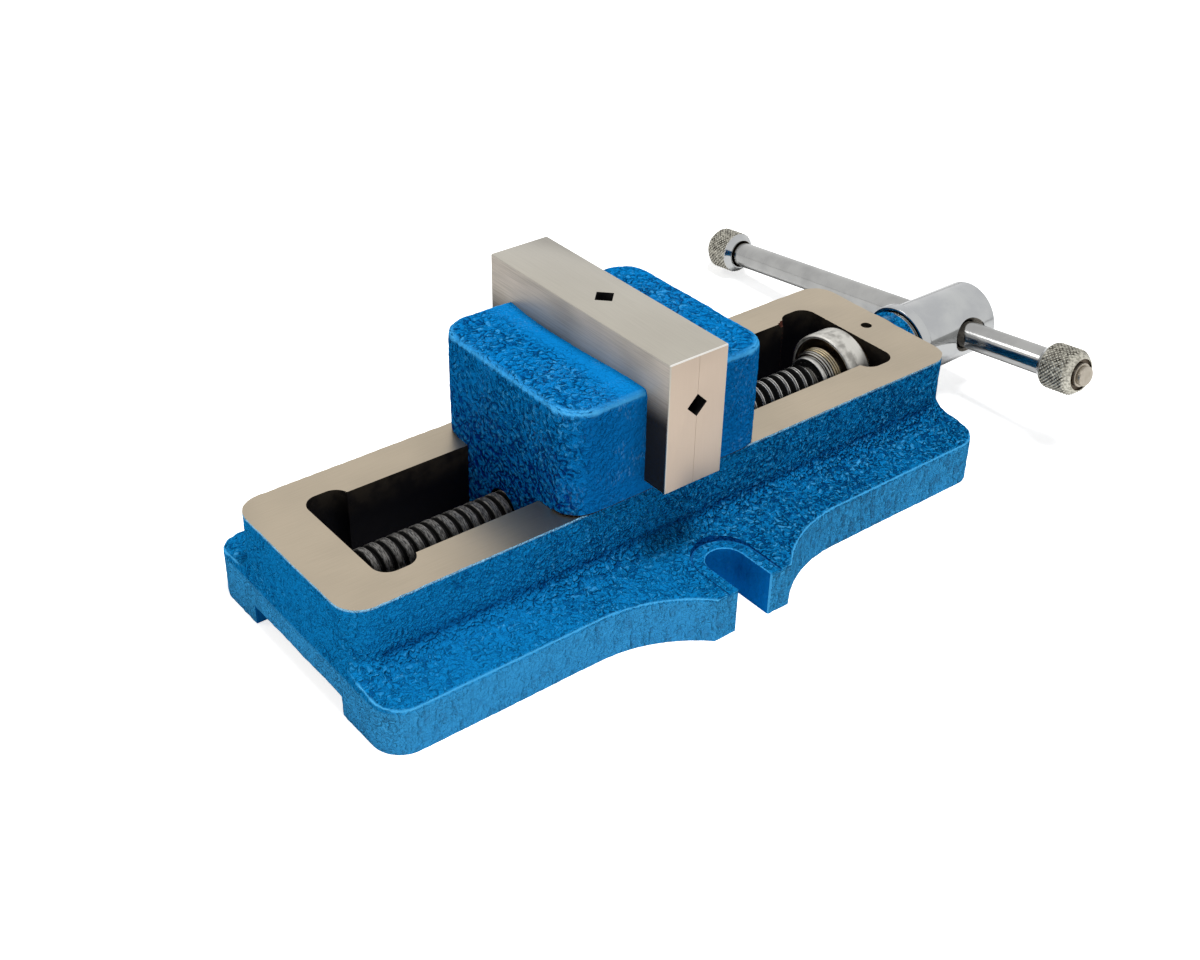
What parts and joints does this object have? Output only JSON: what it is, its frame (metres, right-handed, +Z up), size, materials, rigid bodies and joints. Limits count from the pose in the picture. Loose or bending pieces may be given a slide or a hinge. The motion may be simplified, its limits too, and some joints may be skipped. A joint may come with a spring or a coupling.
{
  "type": "self-centering vise",
  "caption": "Low machine vise whose jaws close together on the centre line, driven by one screw with opposite threads and a sliding T-bar handle; cast base with side bolt slots.",
  "frame": {"origin": "on the table under the centre of the closed jaws: the jaws meet on x = 0, the vise is centred on y = 0 and the feet stand on z = 0", "axes": "+X along the screw towards the handle, +Z up, -Y the side that faces the viewer"},
  "size_m": [0.33, 0.2196, 0.1005],
  "materials": {
    "cast_paint": "blue hammered enamel on cast iron, with the guideway ground bright",
    "ground_steel": "surface ground with a fine lay",
    "turned_steel": "turned bright",
    "screw_steel": "oil-blackened thread with worn bright crests",
    "chrome": "satin chrome plate",
    "knurled_steel": "diamond knurl, nickel plated",
    "bronze": "turned bronze",
    "black_steel": "black oxide"
  },
  "bodies": {
    "base": {"base_casting": "cast_paint", "plain_bush": "bronze", "handle_bush": "bronze", "inner_washer": "bronze", "outer_washer": "bronze"},
    "screw": {"lead_screw": "screw_steel", "jam_nut": "bronze", "thrust_collar": "turned_steel", "hub": "chrome", "hub_pin": "turned_steel"},
    "handle": {"handle_bar": "chrome", "near_knob": "knurled_steel", "far_knob": "knurled_steel"},
    "left_slide": {"left_jaw": "cast_paint", "left_plate": "ground_steel", "left_plate_screws": "black_steel", "left_nut": "bronze", "left_nut_pin": "black_steel", "left_keeper": "black_steel", "left_keeper_screws": "black_steel"},
    "right_slide": {"right_jaw": "cast_paint", "right_plate": "ground_steel", "right_plate_screws": "black_steel", "right_nut": "bronze", "right_nut_pin": "black_steel", "right_keeper": "black_steel", "right_keeper_screws": "black_steel"}
  },
  "joints": [
    {"name": "screw_turn", "type": "hinge", "parent": "base", "child": "screw", "pos_m": [0, 0, 0.0294], "axis": [1, 0, 0], "range_deg": [0, 3960]},
    {"name": "left_jaw_slide", "type": "slide", "parent": "base", "child": "left_slide", "axis": [-1, 0, 0], "range_m": [0, 0.0495]},
    {"name": "right_jaw_slide", "type": "slide", "parent": "base", "child": "right_slide", "axis": [1, 0, 0], "range_m": [0, 0.0495]},
    {"name": "handle_slide", "type": "slide", "parent": "screw", "child": "handle", "axis": [0, 0.9919, -0.1271], "range_m": [-0.1112, 0.0392]}
  ],
  "couplings": [
    {"joint": "left_jaw_slide", "follows": "screw_turn", "m_per_rad": 0.00071619},
    {"joint": "right_jaw_slide", "follows": "screw_turn", "m_per_rad": 0.00071619}
  ]
}
